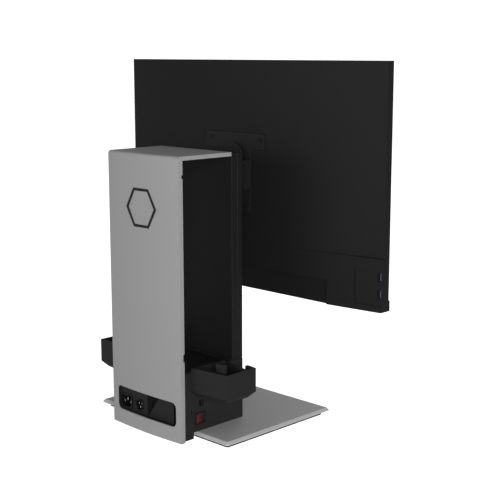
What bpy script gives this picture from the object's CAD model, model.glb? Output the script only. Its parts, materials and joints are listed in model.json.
import json
import math

import bpy
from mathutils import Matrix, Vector


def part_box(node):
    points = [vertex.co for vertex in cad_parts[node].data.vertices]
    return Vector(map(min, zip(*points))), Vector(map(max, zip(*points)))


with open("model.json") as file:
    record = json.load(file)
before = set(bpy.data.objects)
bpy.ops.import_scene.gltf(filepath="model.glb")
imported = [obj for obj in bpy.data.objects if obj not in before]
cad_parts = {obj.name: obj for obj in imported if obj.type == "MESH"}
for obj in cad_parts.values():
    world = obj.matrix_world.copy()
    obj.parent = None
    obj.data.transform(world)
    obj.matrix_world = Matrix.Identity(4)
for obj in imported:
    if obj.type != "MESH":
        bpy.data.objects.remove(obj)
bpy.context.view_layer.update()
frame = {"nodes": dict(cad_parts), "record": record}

MM = 0.001


# ---------------------------------------------------------------- materials


class Recipe:
    """A node-based material that is put together one step at a time."""

    def __init__(self, name, colour, roughness, metallic=0.0):
        self.material = bpy.data.materials.new(name)
        self.material.use_nodes = True
        self.material.diffuse_color = (*colour, 1.0)
        self.tree = self.material.node_tree
        self.shader = self.tree.nodes["Principled BSDF"]
        self.shader.inputs["Base Color"].default_value = (*colour, 1.0)
        self.shader.inputs["Roughness"].default_value = roughness
        self.shader.inputs["Metallic"].default_value = metallic
        self.colour = colour
        self.roughness = roughness
        self.place = self.tree.nodes.new("ShaderNodeTexCoord").outputs["Object"]
        self.relief = None

    def link(self, start, end):
        """Joins two sockets of the material."""
        self.tree.links.new(start, end)

    def stretched(self, scale):
        """The object's own coordinates, stretched along an axis."""
        mapping = self.tree.nodes.new("ShaderNodeMapping")
        mapping.inputs["Scale"].default_value = scale
        self.link(self.place, mapping.inputs["Vector"])
        return mapping.outputs["Vector"]

    def noise(self, scale, detail=3.0, place=None):
        """A noise value, by default at the object's own coordinates."""
        node = self.tree.nodes.new("ShaderNodeTexNoise")
        node.inputs["Scale"].default_value = scale
        node.inputs["Detail"].default_value = detail
        self.link(place or self.place, node.inputs["Vector"])
        return node.outputs["Fac"]

    def ranged(self, value, low, high, start=0.3, end=0.7):
        """A value that runs from low to high while its input runs from start to end."""
        node = self.tree.nodes.new("ShaderNodeMapRange")
        node.inputs["From Min"].default_value = start
        node.inputs["From Max"].default_value = end
        node.inputs["To Min"].default_value = low
        node.inputs["To Max"].default_value = high
        self.link(value, node.inputs["Value"])
        return node.outputs["Result"]

    def uneven_colour(self, spread, scale):
        """Lighter and darker patches, spread as a share of the colour."""
        mix = self.tree.nodes.new("ShaderNodeMix")
        mix.data_type = "RGBA"
        darker = [part * (1 - spread) for part in self.colour]
        lighter = [min(1.0, part * (1 + spread)) for part in self.colour]
        mix.inputs["A"].default_value = (*darker, 1.0)
        mix.inputs["B"].default_value = (*lighter, 1.0)
        self.link(self.ranged(self.noise(scale), 0.0, 1.0), mix.inputs["Factor"])
        self.link(mix.outputs["Result"], self.shader.inputs["Base Color"])
        return self

    def uneven_gloss(self, spread, scale):
        """Glossier and duller patches."""
        low, high = self.roughness - spread, self.roughness + spread
        self.link(self.ranged(self.noise(scale, 4.0), low, high), self.shader.inputs["Roughness"])
        return self

    def bump(self, height, depth, strength=1.0):
        """Adds relief, with its depth in metres, on top of the relief that is there already."""
        node = self.tree.nodes.new("ShaderNodeBump")
        node.inputs["Distance"].default_value = depth
        node.inputs["Strength"].default_value = strength
        self.link(height, node.inputs["Height"])
        if self.relief:
            self.link(self.relief, node.inputs["Normal"])
        self.relief = node.outputs["Normal"]
        self.link(self.relief, self.shader.inputs["Normal"])
        return self

    def grain(self, scale, depth, strength=1.0):
        """Fine, even relief."""
        return self.bump(self.noise(scale, 2.0), depth, strength)

    def coat(self, weight, roughness):
        """A clear coat on top."""
        self.shader.inputs["Coat Weight"].default_value = weight
        self.shader.inputs["Coat Roughness"].default_value = roughness
        return self


def metal_paint(name, colour, roughness, metallic, grain_depth):
    """Grey paint with fine metal flakes, sprayed on sheet metal or a cast plate."""
    recipe = Recipe(name, colour, roughness, metallic)
    recipe.uneven_colour(0.02, 700.0)
    recipe.uneven_gloss(0.04, 240.0)
    recipe.grain(1500.0, grain_depth, 0.35)
    return recipe.coat(0.06, 0.45).material


def moulded(name, colour, roughness, specular=0.22, grain_scale=1500.0, grain_depth=0.00005):
    """Moulded plastic with a spark-eroded grain."""
    recipe = Recipe(name, colour, roughness)
    recipe.shader.inputs["Specular IOR Level"].default_value = specular
    recipe.uneven_colour(0.08, grain_scale * 0.4)
    recipe.uneven_gloss(0.05, 300.0)
    recipe.grain(grain_scale, grain_depth, 0.5)
    return recipe.material


def brushed(name, colour, roughness, stretch):
    """Drawn or brushed metal, its lines along the axis that is stretched least."""
    recipe = Recipe(name, colour, roughness, 1.0)
    recipe.uneven_colour(0.06, 30.0)
    lines = recipe.noise(40.0, 5.0, recipe.stretched(stretch))
    recipe.link(recipe.ranged(lines, roughness - 0.08, roughness + 0.12), recipe.shader.inputs["Roughness"])
    recipe.bump(lines, 0.00003, 0.5)
    return recipe.material


def rubber(name, colour):
    """Dull rubber for the feet."""
    recipe = Recipe(name, colour, 0.85)
    recipe.uneven_colour(0.15, 60.0)
    recipe.grain(1200.0, 0.0001)
    return recipe.material


def screen(name):
    """A dark anti-glare panel behind its polariser."""
    recipe = Recipe(name, (0.006, 0.006, 0.008), 0.22)
    recipe.uneven_gloss(0.03, 400.0)
    recipe.grain(4000.0, 0.00001, 0.3)
    return recipe.coat(0.25, 0.12).material


def two_tone_rocker(name):
    """A red rocker with one dark end. The colours meet a little to one side of its middle."""
    side_step = 1.1 * MM
    half_blend = 0.4 * MM
    dark_end = (0.009, 0.007, 0.007, 1.0)
    recipe = Recipe(name, (0.094, 0.008, 0.008), 0.36)
    split = recipe.tree.nodes.new("ShaderNodeSeparateXYZ")
    recipe.link(recipe.place, split.inputs["Vector"])
    low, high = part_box("power_rocker")
    border = (low.y + high.y) / 2 - side_step
    share = recipe.ranged(split.outputs["Y"], 0.0, 1.0, border - half_blend, border + half_blend)
    mix = recipe.tree.nodes.new("ShaderNodeMix")
    mix.data_type = "RGBA"
    mix.inputs["A"].default_value = dark_end
    mix.inputs["B"].default_value = (*recipe.colour, 1.0)
    recipe.link(share, mix.inputs["Factor"])
    recipe.link(mix.outputs["Result"], recipe.shader.inputs["Base Color"])
    recipe.uneven_gloss(0.06, 200.0)
    return recipe.grain(1800.0, 0.00003, 0.5).material


# The colours are linear, and the grain depths are in metres.
FINISHES = {
    "cover_grey": metal_paint(
        "Cover grey paint", (0.372, 0.370, 0.378), 0.50, metallic=0.15, grain_depth=0.000012
    ),
    "plate_grey": metal_paint(
        "Plate grey paint", (0.56, 0.56, 0.566), 0.52, metallic=0.10, grain_depth=0.000015
    ),
    "badge_dark": moulded(
        "Badge gloss black",
        (0.012, 0.012, 0.013),
        0.25,
        specular=0.4,
        grain_scale=2500.0,
        grain_depth=0.00001,
    ),
    "black_plastic": moulded("Black grained plastic", (0.0105, 0.0105, 0.0107), 0.52),
    "dark_plastic": moulded("Charcoal grained plastic", (0.018, 0.018, 0.0185), 0.52),
    "display_plastic": moulded(
        "Display black plastic", (0.0098, 0.0098, 0.0100), 0.50, grain_scale=1900.0, grain_depth=0.00004
    ),
    "connector_black": moulded(
        "Connector black", (0.007, 0.007, 0.007), 0.38, specular=0.35, grain_scale=1200.0, grain_depth=0.00003
    ),
    "steel": brushed("Zinc plated steel", (0.42, 0.42, 0.43), 0.36, stretch=(1.0, 1.0, 22.0)),
    "dark_steel": moulded(
        "Black powder coated steel", (0.0125, 0.0125, 0.0128), 0.44, specular=0.26, grain_scale=1100.0
    ),
    "bright_pin": brushed("Bright contact metal", (0.78, 0.77, 0.74), 0.18, stretch=(1.0, 8.0, 1.0)),
    "red_plastic": two_tone_rocker("Switch red plastic"),
    "rubber_black": rubber("Black rubber", (0.015, 0.015, 0.015)),
    "screen_glass": screen("Anti-glare screen"),
    "board_case": brushed("Pressed aluminium case", (0.60, 0.61, 0.62), 0.38, stretch=(18.0, 1.0, 1.0)),
    "nylon_white": moulded(
        "Natural nylon", (0.62, 0.61, 0.57), 0.45, specular=0.4, grain_scale=900.0, grain_depth=0.00004
    ),
    "port_blue": moulded(
        "Port tongue blue", (0.10, 0.10, 0.17), 0.40, specular=0.4, grain_scale=2000.0, grain_depth=0.00002
    ),
}

SLOT_OF = {part["node"]: part["material_slot"] for part in frame["record"]["subparts"]}


def finish_node(name):
    """Gives a CAD node its material and soft edges."""
    item = frame["nodes"][name]
    for slot in item.material_slots:
        slot.material = FINISHES[SLOT_OF[name]]


for node_name in frame["nodes"]:
    finish_node(node_name)


# ---------------------------------------------------------------- edges

# Widths of the rounded edges, in millimetres.
EDGE_WIDTHS = {
    "base_plate": 0.4,
    "base_pad": 0.6,
    "lower_housing": 0.6,
    "bay_floor": 0.4,
    "column_rear_shell": 0.6,
    "column_front_cover": 0.6,
    "left_tray": 0.6,
    "right_tray": 0.6,
    "latch_guide": 0.5,
    "computer_latch": 0.5,
    "rear_cover": 0.35,
    "cover_badge": 0.15,
    "power_switch_bezel": 0.4,
    "power_rocker": 0.4,
    "inlet_panel": 0.3,
    "ac_inlet": 0.4,
    "round_inlet": 0.4,
    "cable_well": 0.4,
    "cable_guard": 0.3,
    "tilt_caps": 0.8,
    "tilt_bracket": 0.4,
    "lift_arm": 0.8,
    "turn_disc": 0.5,
    "mounting_plate": 0.4,
    "display_back_shell": 0.8,
    "display_bezel": 0.6,
    "display_port_cover": 0.5,
    "display_button": 0.4,
    "release_button": 0.4,
    "release_housing": 0.4,
}

JOIN_DISTANCE = 0.01 * MM
ROUNDED_JOIN_DISTANCE = 0.002 * MM
FLAT_ANGLE = math.radians(0.2)
SHARP_ANGLE = math.radians(28)


def weld(item, name, distance):
    """Joins the points of an object that are closer together than a distance."""
    modifier = item.modifiers.new(name, "WELD")
    modifier.merge_threshold = distance


def soften(name, width):
    """Rounds a CAD node's sharp edges with modifiers, which leave its mesh alone.

    The triangles of each flat face are joined first, so that the rounding meets real edges only. Points
    that the rounding leaves on top of each other are joined, and large faces keep their flat shading.
    """
    item = frame["nodes"][name]
    weld(item, "Join points", JOIN_DISTANCE)
    flat = item.modifiers.new("Flat faces", "DECIMATE")
    flat.decimate_type = "DISSOLVE"
    flat.angle_limit = FLAT_ANGLE
    bevel = item.modifiers.new("Soft edges", "BEVEL")
    bevel.width = width * MM
    bevel.segments = 2
    bevel.limit_method = "ANGLE"
    bevel.angle_limit = SHARP_ANGLE
    bevel.use_clamp_overlap = True
    weld(item, "Join rounded points", ROUNDED_JOIN_DISTANCE)
    even = item.modifiers.new("Even shading", "WEIGHTED_NORMAL")
    even.weight = 50


for node_name, edge_width in EDGE_WIDTHS.items():
    soften(node_name, edge_width)


# ---------------------------------------------------------------- stage, light and camera

FLOOR_REACH = 9.0
FLOOR_GLOW = 1.0
WORLD_GLOW = 1.0
WORLD_STRENGTH = 0.22
LIGHT_TARGET = (0.0, 0.0, 0.25)
# Each light's name, place in metres, width in metres and power in watts.
LIGHTS = (
    ("Key", (-3.7, 3.0, 0.75), 2.6, 215.0),
    ("Fill", (1.6, 4.6, 1.00), 2.6, 22.0),
    ("Front", (1.2, -3.2, 1.00), 2.4, 10.0),
)
CAMERA_PLACE = (-1.1308, 1.0570, 0.5288)
CAMERA_FORWARD = (0.69057, -0.70067, -0.17939)
CAMERA_LENS = 78.1
CAMERA_SENSOR = 36.0
CAMERA_FAR = 50.0


def camera_glow(tree, shader_output, strength):
    """Adds white light that only the camera sees, so the background stays plain in every view."""
    glow = tree.nodes.new("ShaderNodeEmission")
    glow.inputs["Strength"].default_value = strength
    path = tree.nodes.new("ShaderNodeLightPath")
    seen = tree.nodes.new("ShaderNodeMixShader")
    tree.links.new(path.outputs["Is Camera Ray"], seen.inputs[0])
    tree.links.new(glow.outputs["Emission"], seen.inputs[2])
    total = tree.nodes.new("ShaderNodeAddShader")
    tree.links.new(shader_output, total.inputs[0])
    tree.links.new(seen.outputs["Shader"], total.inputs[1])
    return total.outputs["Shader"]


def build_floor():
    """A plain pale floor under the rubber feet."""
    mesh = bpy.data.meshes.new("Floor")
    corners = [(x * FLOOR_REACH, y * FLOOR_REACH, 0) for x, y in ((-1, -1), (1, -1), (1, 1), (-1, 1))]
    mesh.from_pydata(corners, [], [(0, 1, 2, 3)])
    floor = bpy.data.objects.new("Floor", mesh)
    bpy.context.scene.collection.objects.link(floor)
    material = bpy.data.materials.new("Pale floor")
    material.use_nodes = True
    tree = material.node_tree
    shader = tree.nodes["Principled BSDF"]
    shader.inputs["Base Color"].default_value = (0.80, 0.80, 0.80, 1.0)
    shader.inputs["Roughness"].default_value = 0.95
    shader.inputs["Specular IOR Level"].default_value = 0.0
    surface = camera_glow(tree, shader.outputs["BSDF"], FLOOR_GLOW)
    tree.links.new(surface, tree.nodes["Material Output"].inputs["Surface"])
    mesh.materials.append(material)


def area_light(name, place, width, power):
    """A round soft light that faces the object's middle."""
    light = bpy.data.lights.new(name, "AREA")
    light.shape = "DISK"
    light.size = width
    light.energy = power
    item = bpy.data.objects.new(name, light)
    item.location = place
    item.rotation_euler = (Vector(LIGHT_TARGET) - Vector(place)).to_track_quat("-Z", "Y").to_euler()
    bpy.context.scene.collection.objects.link(item)


def build_light():
    """Soft lights stand low around the object, so that upright faces are lit more than level ones."""
    world = bpy.data.worlds.new("Studio")
    bpy.context.scene.world = world
    world.use_nodes = True
    tree = world.node_tree
    background = tree.nodes["Background"]
    background.inputs["Color"].default_value = (1.0, 1.0, 1.0, 1.0)
    background.inputs["Strength"].default_value = WORLD_STRENGTH
    surface = camera_glow(tree, background.outputs["Background"], WORLD_GLOW)
    tree.links.new(surface, tree.nodes["World Output"].inputs["Surface"])
    for name, place, width, power in LIGHTS:
        area_light(name, place, width, power)


def build_camera():
    """The camera stands behind the tower, to its -X side, a little above the display's top."""
    camera = bpy.data.cameras.new("Camera")
    camera.sensor_width = CAMERA_SENSOR
    camera.lens = CAMERA_LENS
    camera.clip_end = CAMERA_FAR
    item = bpy.data.objects.new("Camera", camera)
    item.location = CAMERA_PLACE
    item.rotation_euler = Vector(CAMERA_FORWARD).to_track_quat("-Z", "Y").to_euler()
    bpy.context.scene.collection.objects.link(item)
    bpy.context.scene.camera = item


def build_stage():
    build_floor()
    build_light()
    build_camera()
    bpy.context.scene.view_settings.view_transform = "Standard"


build_stage()
